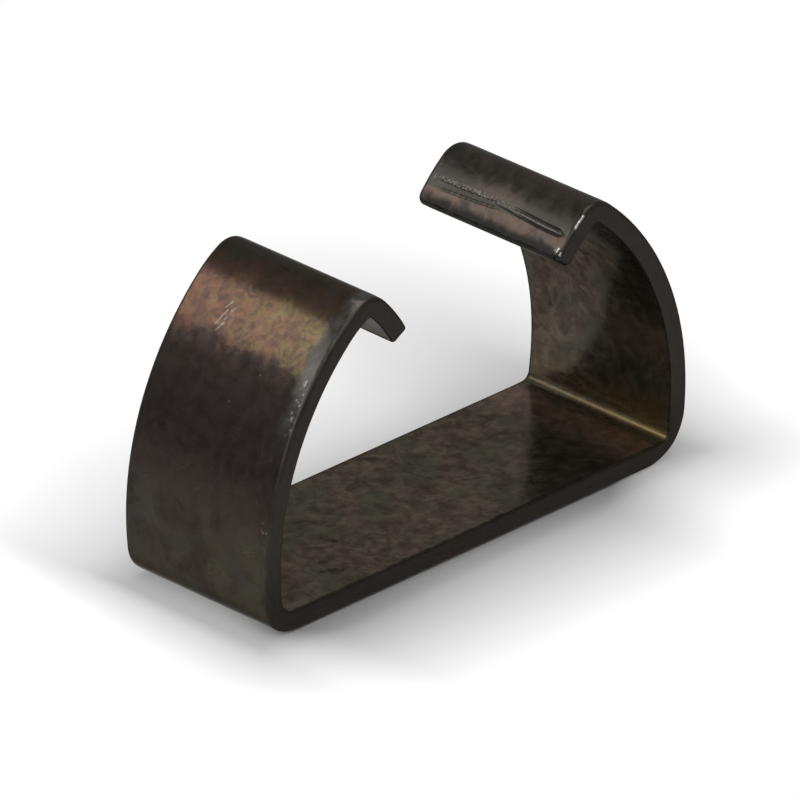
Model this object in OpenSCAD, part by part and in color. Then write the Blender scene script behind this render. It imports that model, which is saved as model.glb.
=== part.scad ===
// Spring clip: one strip of hardened spring steel, folded into an open C.
//
// A flat base carries two arms. Each arm leaves the base through a tight foot bend, bows
// outwards, leans in over the base and folds at the shoulder into a short lip that points down
// into the mouth. The two arms differ a little, as hand-set folds do.
//
// Every stretch is swept from one section, a rectangle with rounded edges, and each bend is a
// true turn about an axis across the strip.

/* [Strip] */
// Width of the strip
strip_w = 12.7; // [8:0.1:20]
// Thickness of the strip
strip_t = 1.4; // [0.9:0.05:1.8]
// Rounding along all the edges of the strip
edge_r = 0.27; // [0.1:0.01:0.4]
// Rounding of the four corners at the ends of the strip
corner_r = 0.6; // [0.45:0.05:1.5]

/* [Base] */
// Flat length of the base, from one foot bend to the other
base_len = 31.6; // [20:0.1:60]

/* [Bends of both arms] */
// Inside radius of the crown, where the arm starts to close
crown_r = 6.85; // [3:0.05:12]
// Inside radius of the shoulder fold
shoulder_r = 0.5; // [0.4:0.05:1.5]
// Inside radius of the lip's slight curve
lip_r = 11.2; // [8:0.1:20]

/* [Right arm] */
// Inside radius of the right foot bend
right_foot_r = 2.15; // [0.5:0.05:4]
// Angle of the right foot bend
right_foot_a = 85; // [75:0.1:89]
// Inside radius of the right arm's bow
right_arm_r = 18.1; // [14:0.1:24]
// Angle that the right arm's bow turns through
right_arm_a = 55.3; // [40:0.1:60]
// Angle that the right crown turns through
right_crown_a = 1.2; // [1:0.1:20]
// Angle of the right shoulder fold
right_shoulder_a = 77; // [60:0.1:90]
// Angle that the right lip's curve turns through
right_lip_a = 15.7; // [14:0.1:20]

/* [Left arm] */
// Inside radius of the left foot bend
left_foot_r = 1; // [0.5:0.05:4]
// Angle of the left foot bend
left_foot_a = 83.4; // [75:0.1:89]
// Inside radius of the left arm's bow
left_arm_r = 18.8; // [14:0.1:24]
// Angle that the left arm's bow turns through
left_arm_a = 54.1; // [40:0.1:60]
// Angle that the left crown turns through
left_crown_a = 14.9; // [1:0.1:20]
// Angle of the left shoulder fold
left_shoulder_a = 72.9; // [60:0.1:90]
// Angle that the left lip's curve turns through
left_lip_a = 14.5; // [12:0.1:20]

/* [Tool mark on the right lip] */
// Depth of the pressed groove
groove_depth = 0.08; // [0.03:0.01:0.15]
// Width of the groove at the face of the lip
groove_w = 0.5; // [0.3:0.05:0.6]
// Distance from the end of the lip to the middle of the groove
groove_from_tip = 1.55; // [1:0.05:1.6]
// Distance from the edge of the strip to the groove's rounded end
groove_from_edge = 0.5; // [0.5:0.05:2]
// Length of the groove over its rounded ends
groove_len = 5.8; // [1:0.1:6]

/* [Hidden] */
$fn = 96;                  // facets of a full turn, for the bends
EDGE_FN = 16;              // the same, for the small roundings along the edges
GROOVE_FN = 48;            // the same, for the bar that pressed the groove
STEEL = "#3b342d";
CUT_OVER = 1;              // how far a cutting tool stands out past what it cuts
BREAK = 1.1;               // a corner's rounding circle, as a share of the rounding

// The bends of each arm from the base to the end of the lip, as [inside radius, angle]
right_bends = [
    [right_foot_r, right_foot_a],
    [right_arm_r, right_arm_a],
    [crown_r, right_crown_a],
    [shoulder_r, right_shoulder_a],
    [lip_r, right_lip_a]
];
left_bends = [
    [left_foot_r, left_foot_a],
    [left_arm_r, left_arm_a],
    [crown_r, left_crown_a],
    [shoulder_r, left_shoulder_a],
    [lip_r, left_lip_a]
];

// Radius of a bend along the middle of the strip's thickness
function mid_r(bend) = bend[0] + strip_t / 2;

// Angle that the strip has turned through before bend number i
function heading(bends, i) = i == 0 ? 0 : heading(bends, i - 1) + bends[i - 1][1];

// Where bend number i starts, as [x, z] on the strip's middle line
function start_point(bends, i) =
    i == 0
    ? [base_len / 2, 0]
    : centre(bends, i - 1) + mid_r(bends[i - 1]) * outward(heading(bends, i));

// The axis that bend number i turns about
function centre(bends, i) =
    start_point(bends, i) - mid_r(bends[i]) * outward(heading(bends, i));

// The way that the strip's outer face looks where the strip has turned through an angle
function outward(angle) = [sin(angle), -cos(angle)];

// How far one side reaches along X: past the flat base, the foot bend and the bow
function reach(bends) =
    base_len / 2 + mid_r(bends[0]) * sin(bends[0][1])
    + mid_r(bends[1]) * (1 - sin(bends[0][1])) + strip_t / 2;

base_shift = (reach(left_bends) - reach(right_bends)) / 2;

// The groove is a stretch of a round bar, sunk into the face by its depth
groove_bar_r = (pow(groove_w / 2, 2) + pow(groove_depth, 2)) / (2 * groove_depth);

// Moves its children to [x, z] in two steps, a round one and the small rest, so that the
// whole precision of the position is kept and neighbouring bends meet exactly
module at(point) {
    round_part = [for (c = point) round(c * 100) / 100];
    translate([round_part[0], 0, round_part[1]])
        translate([point[0] - round_part[0], 0, point[1] - round_part[1]])
            children();
}

// The strip's cross-section, with its middle on the origin and its thickness along Y
module section() {
    square([strip_w - 2 * edge_r, strip_t], center = true);
    square([strip_w, strip_t - 2 * edge_r], center = true);
    for (side = [-1, 1], face = [-1, 1])
        translate([side * (strip_w / 2 - edge_r), face * (strip_t / 2 - edge_r)])
            circle(edge_r, $fn = EDGE_FN);
}

// The flat base, along X
module base() {
    translate([-base_len / 2, 0, 0])
        rotate([90, 0, 90])
            linear_extrude(base_len)
                section();
}

// Bend number i of an arm
module bend(bends, i) {
    at(centre(bends, i))
        rotate([90, 90, 0])
            rotate_extrude(angle = bends[i][1], start = heading(bends, i))
                translate([mid_r(bends[i]), 0])
                    rotate(90)
                        section();
}

// Puts its children on the middle line of the lip, a distance back from its end, with +X along
// the strip towards the end and -Z out of the strip's outer face
module on_lip(bends, from_tip) {
    last = len(bends) - 1;
    back = from_tip / (bends[last][0] + strip_t) * 180 / PI;
    angle = heading(bends, last + 1) - back;
    at(centre(bends, last) + mid_r(bends[last]) * outward(angle))
        rotate([0, -angle, 0])
            children();
}

// What rounding takes off a square corner at the origin, with the metal towards -X and -Y
module corner_waste(radius, height) {
    linear_extrude(height, center = true)
        translate([-radius, -radius])
            difference() {
                square(radius + CUT_OVER);
                circle(radius * BREAK, $fn = EDGE_FN);
            }
}

// What is taken off the end of the strip: its two corners and the two edges of its end face
module end_waste() {
    for (side = [0, 1])
        mirror([0, side, 0])
            translate([0, strip_w / 2, 0])
                corner_waste(corner_r, strip_t + 2 * CUT_OVER);
    for (face = [0, 1])
        mirror([0, 0, face])
            translate([0, 0, strip_t / 2])
                rotate([90, 0, 0])
                    corner_waste(edge_r, strip_w + 2 * CUT_OVER);
}

// The bar, round at both ends, that pressed the groove into the outer face of the right lip
module groove_bar() {
    bar_len = groove_len - groove_w;
    translate([0, -strip_w / 2 + groove_from_edge + groove_w / 2, 0])
        translate([0, 0, groove_depth - strip_t / 2 - groove_bar_r])
            rotate([-90, 0, 0]) {
                cylinder(r = groove_bar_r, h = bar_len, $fn = GROOVE_FN);
                for (z = [0, bar_len])
                    translate([0, 0, z])
                        sphere(groove_bar_r, $fn = GROOVE_FN);
            }
}

// One arm, from its foot bend to the end of its lip. Its children are cut from the lip
module arm(bends) {
    last = len(bends) - 1;
    for (i = [0 : last - 1])
        bend(bends, i);
    difference() {
        bend(bends, last);
        on_lip(bends, 0)
            end_waste();
        children();
    }
}

module spring_clip() {
    color(STEEL)
        translate([base_shift, 0, strip_t / 2]) {
            base();
            arm(right_bends)
                on_lip(right_bends, groove_from_tip)
                    groove_bar();
            mirror([1, 0, 0])
                arm(left_bends);
        }
}

spring_clip();
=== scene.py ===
"""Spring clip: one strip of dark, oil-tempered spring steel, folded into an open C.

The strip is made flat, as a blank with rolled edges, rounded corners and its tool marks pressed in.
A geometry node tree then folds it about its ten bends, in the order in which a press would.
All lengths are in metres, in the part's own frame: +X runs along the base, +Y across the strip and
+Z up, out of the mouth.
"""

import logging
import math
from dataclasses import dataclass, replace
from enum import Enum
from functools import reduce
from operator import add, mul
from typing import Any, Optional, Sequence, Union

import bpy
import numpy as np
from mathutils import Matrix, Vector


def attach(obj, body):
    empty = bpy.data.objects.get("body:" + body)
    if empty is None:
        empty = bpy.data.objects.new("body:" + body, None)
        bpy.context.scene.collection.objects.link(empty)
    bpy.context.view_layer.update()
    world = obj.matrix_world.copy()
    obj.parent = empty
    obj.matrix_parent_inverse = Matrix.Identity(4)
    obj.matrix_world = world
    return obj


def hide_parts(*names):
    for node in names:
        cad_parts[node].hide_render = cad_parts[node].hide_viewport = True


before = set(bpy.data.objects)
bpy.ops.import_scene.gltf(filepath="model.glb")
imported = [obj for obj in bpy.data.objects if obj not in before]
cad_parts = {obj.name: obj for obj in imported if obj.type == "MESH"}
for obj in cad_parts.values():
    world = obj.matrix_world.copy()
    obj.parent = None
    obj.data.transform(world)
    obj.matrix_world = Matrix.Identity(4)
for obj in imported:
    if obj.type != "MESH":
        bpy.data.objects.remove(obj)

MM = 0.001
NODE = "spring_clip"
BODY = "root"
PIECE = "folded_clip"
FLAT = "flat"               # attribute: the place of each point on the flat blank
log = logging.getLogger("spring_clip")


# ---------------------------------------------------------------- node graphs

class Wire:
    """One output of a node graph. Python's operators on it add the graph's Math nodes."""

    def __init__(self, graph: "Graph", socket: bpy.types.NodeSocket) -> None:
        """Keeps the graph and the socket.

        Args:
            graph: The graph that the socket belongs to.
            socket: The node output that carries the value.
        """
        self.graph = graph
        self.socket = socket

    def __add__(self, other: "Value") -> "Wire":
        """self + other."""
        return self.graph.math("ADD", self, other)

    __radd__ = __add__

    def __sub__(self, other: "Value") -> "Wire":
        """self - other."""
        return self.graph.math("SUBTRACT", self, other)

    def __rsub__(self, other: "Value") -> "Wire":
        """other - self."""
        return self.graph.math("SUBTRACT", other, self)

    def __mul__(self, other: "Value") -> "Wire":
        """self * other."""
        return self.graph.math("MULTIPLY", self, other)

    __rmul__ = __mul__

    def __truediv__(self, other: "Value") -> "Wire":
        """self / other."""
        return self.graph.math("DIVIDE", self, other)

    def __neg__(self) -> "Wire":
        """-self."""
        return self.graph.math("MULTIPLY", self, -1.0)

    def __pow__(self, power: "Value") -> "Wire":
        """self ** power, for values that aren't negative."""
        return self.graph.math("POWER", self, power)

    def __abs__(self) -> "Wire":
        """abs(self)."""
        return self.graph.math("ABSOLUTE", self)

    def __lt__(self, other: "Value") -> "Wire":
        """1 where self < other, else 0."""
        return self.graph.math("LESS_THAN", self, other)

    def clamp(self) -> "Wire":
        """self, held from 0 to 1."""
        return self.graph.output("ShaderNodeClamp", {}, {"Value": self})

    def least(self, other: "Value") -> "Wire":
        """The smaller of the two values."""
        return self.graph.math("MINIMUM", self, other)

    def most(self, other: "Value") -> "Wire":
        """The larger of the two values."""
        return self.graph.math("MAXIMUM", self, other)


Value = Union[Wire, float]


class Graph:
    """A node tree that is built in Python, for a material, a world or a geometry tree."""

    def __init__(self, tree: bpy.types.NodeTree) -> None:
        """Empties the tree.

        Args:
            tree: The node tree to build in.
        """
        self.tree = tree
        tree.nodes.clear()

    def node(self, kind: str, settings: dict[str, Any], inputs: dict[Any, Any]) -> bpy.types.Node:
        """Adds one node.

        Args:
            kind: The node's type, such as "ShaderNodeTexNoise".
            settings: The node's own properties, which are set before its sockets.
            inputs: Values or wires by the socket's name or number.

        Returns:
            The new node.
        """
        node = self.tree.nodes.new(kind)
        for name, value in settings.items():
            setattr(node, name, value)
        for key, value in inputs.items():
            socket = node.inputs[key]
            if isinstance(value, Wire):
                self.tree.links.new(value.socket, socket)
            else:
                socket.default_value = value
        return node

    def output(self, kind: str, settings: dict[str, Any], inputs: dict[Any, Any],
               name: Any = 0) -> Wire:
        """Adds one node and returns one of its outputs.

        Args:
            kind: The node's type.
            settings: The node's own properties.
            inputs: Values or wires by the socket's name or number.
            name: The output's name or number.

        Returns:
            The output.
        """
        return Wire(self, self.node(kind, settings, inputs).outputs[name])

    def math(self, operation: str, *values: Value) -> Wire:
        """One Math node on up to three values."""
        return self.output("ShaderNodeMath", {"operation": operation},
                           dict(enumerate(values)))

    def smooth(self, value: Value, low: float, high: float,
               to_low: float = 0.0, to_high: float = 1.0) -> Wire:
        """Turns a range of values smoothly into another.

        Args:
            value: What is looked at.
            low: The value at which the result is to_low.
            high: The value at which the result is to_high. It may be below low.
            to_low: The result at low and before it.
            to_high: The result at high and past it.

        Returns:
            The result, with an ease at both ends.
        """
        if low > high:
            low, high, to_low, to_high = high, low, to_high, to_low
        return self.output("ShaderNodeMapRange", {"interpolation_type": "SMOOTHSTEP"},
                           {"Value": value, "From Min": low, "From Max": high,
                            "To Min": to_low, "To Max": to_high})

    def mix(self, below: Any, above: Any, share: Value, blend: str = "MIX") -> Wire:
        """Mixes two colours.

        Args:
            below: The colour where share is 0: a wire or a linear (r, g, b).
            above: The colour where share is 1.
            share: How much of the second colour shows.
            blend: The blend type.

        Returns:
            The mixed colour.
        """
        def four(colour: Any) -> Any:
            """A plain colour gets its alpha."""
            return colour if isinstance(colour, Wire) else (*colour, 1.0)

        node = self.node("ShaderNodeMix", {"data_type": "RGBA", "blend_type": blend}, {})
        wanted = {("Factor", "VALUE"): share, ("A", "RGBA"): four(below),
                  ("B", "RGBA"): four(above)}
        for socket in node.inputs:
            value = wanted.get((socket.name, socket.type))
            if isinstance(value, Wire):
                self.tree.links.new(value.socket, socket)
            elif value is not None:
                socket.default_value = value
        return Wire(self, next(s for s in node.outputs if s.type == "RGBA"))

    def parts(self, vector: Wire) -> tuple[Wire, Wire, Wire]:
        """The three parts of a vector."""
        node = self.node("ShaderNodeSeparateXYZ", {}, {0: vector})
        return tuple(Wire(self, node.outputs[i]) for i in range(3))

    def vector(self, x: Value, y: Value, z: Value) -> Wire:
        """A vector of three values."""
        return self.output("ShaderNodeCombineXYZ", {}, {0: x, 1: y, 2: z})

    def placed(self, vector: Wire, move: tuple = (0, 0, 0), turn: tuple = (0, 0, 0),
               scale: tuple = (1, 1, 1)) -> Wire:
        """A vector through a Mapping node: scaled, turned, then moved."""
        return self.output("ShaderNodeMapping", {},
                           {"Vector": vector, "Location": move, "Rotation": turn, "Scale": scale})


# ---------------------------------------------------------------- the strip's sizes

class Side(Enum):
    """The two arms, by the way that they stand from the middle of the base."""

    LEFT = -1
    RIGHT = 1


@dataclass(frozen=True)
class Bend:
    """One bend of an arm.

    Attributes:
        name: What the bend is called.
        inside: Radius of the strip's inner face.
        degrees: How far the strip turns.
    """

    name: str
    inside: float
    degrees: float

    @property
    def angle(self) -> float:
        """How far the strip turns, in radians."""
        return math.radians(self.degrees)


@dataclass(frozen=True)
class Strip:
    """The sizes of the strip and of its bends, each arm's from the base to the end of its lip."""

    width: float = 12.7 * MM
    thickness: float = 1.4 * MM
    base_length: float = 31.6 * MM
    right_corner_radius: float = 0.6 * MM
    left_corner_radius: float = 0.3 * MM
    right: tuple[Bend, ...] = (
        Bend("foot", 2.15 * MM, 85.0),
        Bend("bow", 18.1 * MM, 55.3),
        Bend("crown", 6.85 * MM, 1.2),
        Bend("shoulder", 0.5 * MM, 77.0),
        Bend("lip", 11.2 * MM, 15.7),
    )
    left: tuple[Bend, ...] = (
        Bend("foot", 1.0 * MM, 83.4),
        Bend("bow", 18.8 * MM, 54.1),
        Bend("crown", 6.85 * MM, 14.9),
        Bend("shoulder", 0.5 * MM, 72.9),
        Bend("lip", 11.2 * MM, 14.5),
    )

    def bends(self, side: Side) -> tuple[Bend, ...]:
        """The bends of one arm."""
        return self.right if side is Side.RIGHT else self.left

    def corner_radius(self, side: Side) -> float:
        """Rounding of the corners at the end of one arm's lip."""
        return self.right_corner_radius if side is Side.RIGHT else self.left_corner_radius

    def middle_radius(self, bend: Bend) -> float:
        """Radius of a bend along the middle of the thickness."""
        return bend.inside + self.thickness / 2

    def length(self, bend: Bend) -> float:
        """Length of a bend along the middle of the thickness."""
        return self.middle_radius(bend) * bend.angle

    def arm_length(self, side: Side) -> float:
        """Length of an arm, from the flat base to the end of its lip."""
        return sum(self.length(b) for b in self.bends(side))

    def reach(self, side: Side) -> float:
        """How far one side reaches along X from the middle of the flat base."""
        foot, bow = self.bends(side)[:2]
        return (self.base_length / 2 + self.middle_radius(foot) * math.sin(foot.angle)
                + self.middle_radius(bow) * (1 - math.sin(foot.angle)) + self.thickness / 2)

    def shift(self) -> float:
        """Where the middle of the flat base lies along X."""
        return (self.reach(Side.LEFT) - self.reach(Side.RIGHT)) / 2


# ---------------------------------------------------------------- tool marks

BEAD_TURNS = (1.7, 2.3)     # how much finer than a bead its two other waves are
BEAD_STARTS = (1.3, 0.6)    # where those waves start


def mm(*points: tuple[float, float]) -> tuple[tuple[float, float], ...]:
    """Points that are given in millimetres, in metres."""
    return tuple((first * MM, second * MM) for first, second in points)


@dataclass(frozen=True)
class Mark:
    """A line that a tool pressed into the outer face of the right lip, or a burr that it raised.

    Attributes:
        path: Points of the line, each as (distance from the end of the lip, place across the
            strip), in metres.
        width: Width of the line.
        depth: How deep it is pressed in. A burr's is below zero.
        flat: Share of the width that is the mark's flat floor.
        ragged: How unevenly it is pressed, from 0 to 1.
        beads: Length of one rise and fall of the ragged floor.
        faint: How far the line takes to reach its depth, from either end.
    """

    path: tuple[tuple[float, float], ...]
    width: float
    depth: float
    flat: float = 0.0
    ragged: float = 0.0
    beads: float = 0.3 * MM
    faint: float = 0.0

    def press(self, from_tip: np.ndarray, across: np.ndarray) -> np.ndarray:
        """How far each point of the face is pressed in by this mark.

        Args:
            from_tip: Distance of each point from the end of the lip.
            across: Place of each point across the strip.

        Returns:
            The depth at each point.
        """
        nearest = np.full(len(from_tip), np.inf)
        for (s0, y0), (s1, y1) in zip(self.path[:-1], self.path[1:]):
            ds, dy = s1 - s0, y1 - y0
            along = np.clip(((from_tip - s0) * ds + (across - y0) * dy) / (ds * ds + dy * dy), 0, 1)
            nearest = np.minimum(nearest, np.hypot(from_tip - s0 - along * ds,
                                                   across - y0 - along * dy))
        half = self.width / 2
        share = np.clip((half - nearest) / (half * (1 - self.flat)), 0, 1)
        depth = self.depth * share * share * (3 - 2 * share)
        if self.faint:
            ends = np.minimum(*(np.hypot(from_tip - s, across - y)
                                for s, y in (self.path[0], self.path[-1])))
            depth = depth * np.clip(ends / self.faint, 0, 1)
        if self.ragged:
            turn = 2 * math.pi / self.beads
            (along_turn, across_turn), (along_start, across_start) = BEAD_TURNS, BEAD_STARTS
            wave = (np.sin(across * turn) * np.sin(from_tip * turn * along_turn + along_start)
                    + np.sin(across * turn * across_turn + across_start))
            depth = depth * (1 - self.ragged * (0.5 + 0.25 * wave))
        return depth


@dataclass(frozen=True)
class ToolMarks:
    """What the folding tool left on the outer face of the right lip."""

    marks: tuple[Mark, ...] = (
        # the outline of the pressed groove, round its near end
        Mark(mm((2.03, -0.5), (1.95, -2.1), (1.85, -3.9), (1.8, -5.3), (1.64, -5.68),
                (1.48, -5.45), (1.49, -3.9), (1.62, -2.1), (1.74, -0.5)),
             0.2 * MM, 0.075 * MM, faint=2.4 * MM),
        # its floor, and the ribs on it
        Mark(mm((1.64, -5.5), (1.67, -3.9), (1.79, -2.1), (1.9, 0.6)),
             0.4 * MM, 0.03 * MM, flat=0.5, faint=1.2 * MM),
        Mark(mm((1.64, -5.45), (1.67, -3.9), (1.79, -2.1), (1.88, -0.2)),
             0.28 * MM, -0.03 * MM, flat=0.3, ragged=1.0, beads=0.4 * MM, faint=1.2 * MM),
        # where it runs on as two torn lines
        Mark(mm((1.66, -0.6), (1.48, 0.6), (1.39, 2.1), (1.32, 3.9), (1.2, 5.7)),
             0.3 * MM, 0.04 * MM, ragged=1.0, beads=0.5 * MM, faint=1.0 * MM),
        Mark(mm((2.04, -0.8), (1.97, 0.2), (1.87, 2.0), (1.83, 3.8), (1.84, 5.8)),
             0.24 * MM, 0.035 * MM, ragged=1.0, beads=0.4 * MM, faint=1.0 * MM),
        # a shallow nick below them
        Mark(mm((1.05, 1.5), (0.7, 0.9)), 0.3 * MM, 0.012 * MM, ragged=1.0),
        # burrs by the near corner
        Mark(mm((0.35, -5.75), (0.75, -5.7)), 0.16 * MM, -0.03 * MM),
    )

    def press(self, from_tip: np.ndarray, across: np.ndarray) -> np.ndarray:
        """How far each point of the lip's outer face is pressed in by all the marks together.

        Args:
            from_tip: Distance of each point from the end of the lip.
            across: Place of each point across the strip.

        Returns:
            The depth at each point: the deepest mark's, less what the burrs stand up.
        """
        depths = [mark.press(from_tip, across) for mark in self.marks]
        pressed = np.maximum.reduce([np.maximum(d, 0) for d in depths])
        return pressed + sum(np.minimum(d, 0) for d in depths)


# ---------------------------------------------------------------- the flat blank

TINY = 1e-9                 # what rounding may add to a length


@dataclass(frozen=True)
class Blank:
    """The strip before it is folded, lying flat where the base lies, inner face up.

    Attributes:
        strip: The strip's sizes.
        marks: The tool marks on the right lip.
        outer_radius: Rounding of the outer face's edges.
        inner_radius: Rounding of the inner face's edges.
        roll_width: How far from the edge the outer face starts to roll over.
        roll_depth: How deep the outer face rolls over at the edge.
        allowance: How far the whole outer face keeps inside the part's size.
        worn_roll_width: How wide the roll is along the near edge of the left arm.
        worn_roll_depth: How deep it is there.
        worn_stretch: Where that edge is worn, as distances from the base.
        worn_fade: How far the wear takes to set in.
        crease_radius: Inner radius that the folding tool left in the right foot bend, which is
            thinner than the rest there.
        lean: How far out of square the left lip's end is cut, at its near corner.
        lean_from: How far back from the end the lean reaches.
        columns: Faces across the strip.
        longest_step: Longest face along the base and the arms.
        lip_step: Longest face along the marked lip.
        plain_lip_step: Longest face along the other lip.
        turn_step: Largest turn of one face in a bend.
        corner_steps: Rows round a corner of the strip's end.
        edge_steps: Faces round an edge.
        side_steps: Faces from one edge's rounding to the other's.
    """

    strip: Strip
    marks: ToolMarks
    outer_radius: float = 0.27 * MM
    inner_radius: float = 0.2 * MM
    roll_width: float = 0.95 * MM
    roll_depth: float = 0.03 * MM
    allowance: float = 0.004 * MM
    worn_roll_width: float = 1.3 * MM
    worn_roll_depth: float = 0.2 * MM
    worn_stretch: tuple[float, float] = (2 * MM, 25 * MM)
    worn_fade: float = 3 * MM
    crease_radius: float = 0.6 * MM
    lean: float = 0.2 * MM
    lean_from: float = 1.5 * MM
    columns: int = 120
    longest_step: float = 0.8 * MM
    lip_step: float = 0.05 * MM
    plain_lip_step: float = 0.2 * MM
    turn_step: float = math.radians(3.0)
    corner_steps: int = 7
    edge_steps: int = 7
    side_steps: int = 4

    @property
    def inset(self) -> float:
        """How far the faces' grids stay inside the outline."""
        return max(self.outer_radius, self.inner_radius)

    def rows(self, side: Side) -> list[tuple[float, float]]:
        """The rows of one arm, from the base to the end of the lip.

        Args:
            side: The arm.

        Returns:
            For each row its distance along the arm and its half width, both to the grid's border.
        """
        strip, half = self.strip, self.strip.width / 2 - self.inset
        corner = strip.corner_radius(side)
        last = strip.arm_length(side) - corner
        places, start = [], 0.0
        for bend in strip.bends(side):
            step = self.longest_step
            if bend.name == "lip":
                step = self.lip_step if side is Side.RIGHT else self.plain_lip_step
            end = min(start + strip.length(bend), last)
            count = max(math.ceil((end - start) / step), math.ceil(bend.angle / self.turn_step))
            places += [(start + (end - start) * (i + 1) / count, half) for i in range(count)]
            start += strip.length(bend)
        radius = corner - self.inset
        for i in range(1, self.corner_steps + 1):
            angle = math.pi / 2 * i / self.corner_steps
            places.append((last + radius * math.sin(angle),
                           strip.width / 2 - corner + radius * math.cos(angle)))
        return places

    def mesh(self) -> bpy.types.Mesh:
        """Builds the blank's mesh, closed and with its faces pointing outwards."""
        rows = self._all_rows()
        count, columns = len(rows), self.columns
        shares = np.linspace(-1.0, 1.0, columns + 1)
        s = np.repeat([r[0] for r in rows], columns + 1)
        y = (np.array([r[1] for r in rows])[:, None] * shares[None, :]).ravel()
        size = len(s)

        def at(row: int, column: int) -> int:
            """Number of a grid point."""
            return row * (columns + 1) + column

        outer_face = np.c_[s, y, np.zeros(size)]
        inner_face = np.c_[s, y, np.full(size, self.strip.thickness)]
        border = ([at(0, c) for c in range(columns)]
                  + [at(r, columns) for r in range(count - 1)]
                  + [at(count - 1, c) for c in range(columns, 0, -1)]
                  + [at(r, 0) for r in range(count - 1, 0, -1)])
        away = self._border_directions(outer_face, border)
        rings = [np.c_[outer_face[border][:, :2] + away * out, np.full(len(border), height)]
                 for out, height in self._edge_profile()]
        points = np.vstack([outer_face, inner_face, *rings])
        faces = []
        for r in range(count - 1):
            for c in range(columns):
                quad = (at(r, c), at(r, c + 1), at(r + 1, c + 1), at(r + 1, c))
                faces.append(quad)
                faces.append(tuple(size + i for i in reversed(quad)))
        loops = ([border] + [list(range(2 * size + k * len(border), 2 * size + (k + 1) * len(border)))
                             for k in range(len(rings))] + [[size + i for i in border]])
        for low, high in zip(loops[:-1], loops[1:]):
            for i in range(len(border)):
                j = (i + 1) % len(border)
                faces.append((low[j], low[i], high[i], high[j]))
        points[:, 2] += self._pressed(points) - self._creased(points)
        points[:, 0] -= self._leaning(points)
        mesh = bpy.data.meshes.new("blank")
        mesh.from_pydata(points.tolist(), [], faces)
        mesh.validate()
        return mesh

    def _all_rows(self) -> list[tuple[float, float]]:
        """The rows of the whole blank, from the left lip's end to the right's."""
        strip, half = self.strip, self.strip.width / 2 - self.inset
        middle = strip.base_length / 2
        base_count = math.ceil(strip.base_length / self.longest_step)
        base = [(-middle + strip.base_length * i / base_count, half)
                for i in range(base_count + 1)]
        left = [(-middle - d, w) for d, w in reversed(self.rows(Side.LEFT))]
        right = [(middle + d, w) for d, w in self.rows(Side.RIGHT)]
        return left + base + right

    def _border_directions(self, face: np.ndarray, border: list[int]) -> np.ndarray:
        """The way out of the outline at each border point, as a flat unit vector.

        Args:
            face: The grid's points.
            border: The numbers of the border's points.

        Returns:
            One (x, y) for each border point.
        """
        strip = self.strip
        place = face[border][:, :2]
        out = np.zeros_like(place)
        for side in Side:
            corner = strip.corner_radius(side)
            past = (place[:, 0] * side.value
                    - (strip.base_length / 2 + strip.arm_length(side) - corner))
            beside = np.abs(place[:, 1]) - (strip.width / 2 - corner)
            here = past > -TINY
            turn = np.arctan2(np.maximum(past, 0), np.maximum(beside, 0))
            turn = np.where(beside <= TINY, math.pi / 2, turn)
            out[here, 0] = (side.value * np.sin(turn))[here]
            out[here, 1] = (np.sign(place[:, 1]) * np.cos(turn))[here]
        straight = np.abs(out).sum(1) == 0
        out[straight, 1] = np.sign(place[straight, 1])
        return out

    def _edge_profile(self) -> list[tuple[float, float]]:
        """The rings round the edge from the outer face's border to the inner face's.

        Returns:
            For each ring how far it stands out from the border and its height.
        """
        inset, outer, inner = self.inset, self.outer_radius, self.inner_radius
        high = self.strip.thickness - inner
        turns = [math.pi / 2 * i / self.edge_steps for i in range(self.edge_steps + 1)]
        lower = [(inset - outer + outer * math.sin(t), outer * (1 - math.cos(t)))
                 for t in turns[1:]]
        side = [(inset, outer + (high - outer) * i / self.side_steps)
                for i in range(1, self.side_steps)]
        upper = [(inset - inner + inner * math.cos(t), high + inner * math.sin(t))
                 for t in turns]
        return lower + side + upper[:None if inset > inner else -1]

    def _pressed(self, points: np.ndarray) -> np.ndarray:
        """How far each point is pressed in from the outer face.

        Args:
            points: The blank's points.

        Returns:
            The rise of each point, largest on the outer face and none on the inner one.
        """
        strip = self.strip
        depth_share = np.clip(1 - points[:, 2] / strip.thickness, 0, 1)
        to_edge = strip.width / 2 - np.abs(points[:, 1])
        along_left = -points[:, 0] - strip.base_length / 2
        start, end = self.worn_stretch
        worn = np.clip((along_left - start) / self.worn_fade, 0, 1)
        worn = worn * np.clip((end - along_left) / self.worn_fade, 0, 1) * (points[:, 1] < 0)
        worn = worn * worn * (3 - 2 * worn)
        deepest = self.roll_depth + (self.worn_roll_depth - self.roll_depth) * worn
        width = self.roll_width + (self.worn_roll_width - self.roll_width) * worn
        rise = self.allowance + deepest * np.clip(1 - to_edge / width, 0, 1) ** 2
        from_tip = strip.base_length / 2 + strip.arm_length(Side.RIGHT) - points[:, 0]
        on_face = points[:, 2] < self.outer_radius / 2
        rise = rise + np.where(on_face, self.marks.press(from_tip, points[:, 1]), 0.0)
        return rise * depth_share

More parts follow.
